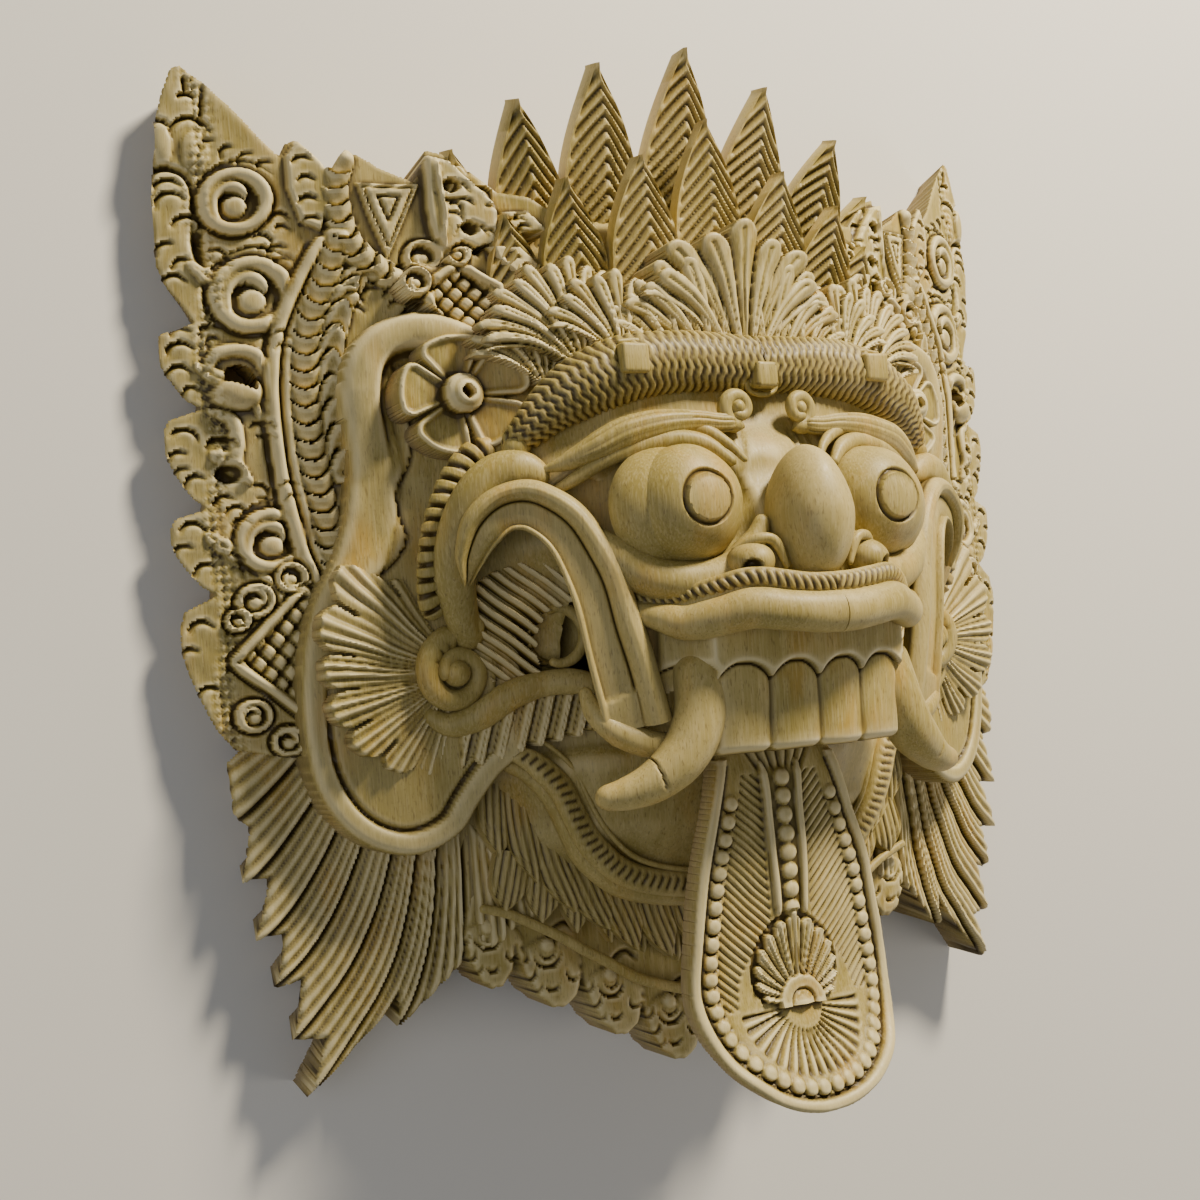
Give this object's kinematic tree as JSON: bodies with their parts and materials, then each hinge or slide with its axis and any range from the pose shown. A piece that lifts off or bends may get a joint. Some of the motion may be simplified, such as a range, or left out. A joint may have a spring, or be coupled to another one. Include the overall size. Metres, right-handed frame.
{
  "type": "carved demon mask",
  "caption": "Carved wooden demon mask with bulging eyes, tusks, long tongue, leaf crown and winged ears, hollow behind, lying on its flat back.",
  "frame": {"origin": "middle of the mask's outline on its flat back", "axes": "+X across the face to the viewer's right, +Y up the face to the crown, +Z out of the face"},
  "size_m": [0.364, 0.3746, 0.14],
  "materials": {
    "carved_wood": "pale close-grained wood under a thin wash, hand carved, half matt, darker in the cuts"
  },
  "bodies": {
    "root": {"mask": "carved_wood"}
  },
  "joints": []
}
